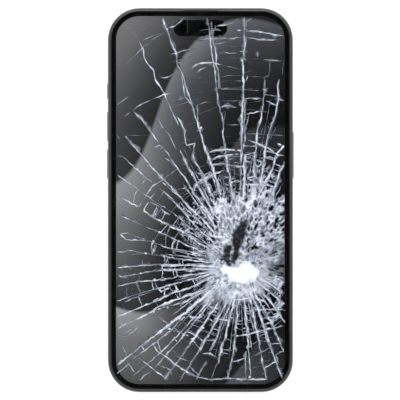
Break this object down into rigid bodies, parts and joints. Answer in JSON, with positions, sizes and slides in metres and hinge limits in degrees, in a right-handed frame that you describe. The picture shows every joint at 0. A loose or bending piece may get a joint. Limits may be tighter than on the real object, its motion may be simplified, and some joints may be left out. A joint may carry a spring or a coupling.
{
  "type": "smartphone with shattered screen",
  "caption": "Slab smartphone lying on its back, its front glass shattered outwards from a blow low on the right, with pressing side buttons and a card tray that slides out.",
  "frame": {"origin": "middle of the flat back, on the surface that the phone lies on", "axes": "+X to the right and +Y to the phone's top as seen from the front, +Z out of the screen"},
  "size_m": [0.0714, 0.1466, 0.0082],
  "materials": {
    "titanium": "satin brushed, darkened metal",
    "antenna_plastic": "matte",
    "cracked_glass": "glossy, shattered, frosted white along the cracks",
    "back_glass": "matte etched",
    "dark_glass": "glossy black",
    "flash_diffuser": "ribbed, translucent",
    "picture": "lit picture of grey folded bands",
    "black_plastic": "matte black",
    "seal": "matte",
    "aluminium": "bead blasted",
    "steel": "fine brushed",
    "circuit_board": "solder mask",
    "flex_circuit": "amber film",
    "battery_pouch": "wrapped pouch",
    "adhesive": "stretch film",
    "copper": "wound wire",
    "acoustic_mesh": "woven"
  },
  "bodies": {
    "phone_body": {"frame_band": "titanium", "antenna_insert_left_upper": "antenna_plastic", "antenna_insert_left_lower": "antenna_plastic", "antenna_insert_right_upper": "antenna_plastic", "antenna_insert_right_lower": "antenna_plastic", "antenna_insert_top": "antenna_plastic", "antenna_insert_bottom": "antenna_plastic", "cover_glass": "cracked_glass", "back_glass": "back_glass", "camera_window": "dark_glass", "front_camera": "dark_glass", "dot_projector": "dark_glass", "infrared_camera": "dark_glass", "flash_lens": "flash_diffuser", "display_panel": "picture", "display_frame": "black_plastic", "sensor_carrier": "black_plastic", "earpiece_speaker": "black_plastic", "loudspeaker": "black_plastic", "rear_camera": "black_plastic", "port_tongue": "black_plastic", "back_gasket": "seal", "display_gasket": "seal", "mid_plate": "aluminium", "connector_cover": "aluminium", "switch_bracket_left": "aluminium", "switch_bracket_right": "aluminium", "display_shield": "steel", "board_shield_upper": "steel", "board_shield_lower": "steel", "card_reader": "steel", "port_shell": "steel", "magnet_ring": "steel", "haptic_motor": "steel", "microphone": "steel", "edge_screw_left": "steel", "edge_screw_right": "steel", "board_screw_1": "steel", "board_screw_2": "steel", "action_switch": "steel", "volume_up_switch": "steel", "volume_down_switch": "steel", "side_switch": "steel", "logic_board": "circuit_board", "antenna_module": "circuit_board", "display_flex": "flex_circuit", "battery_flex": "flex_circuit", "port_flex": "flex_circuit", "flash_led": "flex_circuit", "battery": "battery_pouch", "battery_adhesive": "adhesive", "charging_coil": "copper", "speaker_mesh": "acoustic_mesh", "microphone_mesh": "acoustic_mesh", "earpiece_mesh": "acoustic_mesh"},
    "action_button": {"action_button": "titanium"},
    "volume_up_button": {"volume_up_button": "titanium"},
    "volume_down_button": {"volume_down_button": "titanium"},
    "side_button": {"side_button": "titanium"},
    "card_tray": {"card_tray": "titanium"}
  },
  "joints": [
    {"name": "action_press", "type": "slide", "parent": "phone_body", "child": "action_button", "axis": [1, 0, 0], "range_m": [0, 0.0003], "stiffness_N_per_m": 4000, "springref_m": -0.0002},
    {"name": "volume_up_press", "type": "slide", "parent": "phone_body", "child": "volume_up_button", "axis": [1, 0, 0], "range_m": [0, 0.0003], "stiffness_N_per_m": 4000, "springref_m": -0.0002},
    {"name": "volume_down_press", "type": "slide", "parent": "phone_body", "child": "volume_down_button", "axis": [1, 0, 0], "range_m": [0, 0.0003], "stiffness_N_per_m": 4000, "springref_m": -0.0002},
    {"name": "side_press", "type": "slide", "parent": "phone_body", "child": "side_button", "axis": [-1, 0, 0], "range_m": [0, 0.0003], "stiffness_N_per_m": 4000, "springref_m": -0.0002},
    {"name": "card_tray_slide", "type": "slide", "parent": "phone_body", "child": "card_tray", "axis": [-1, 0, 0], "range_m": [0, 0.0145]}
  ]
}
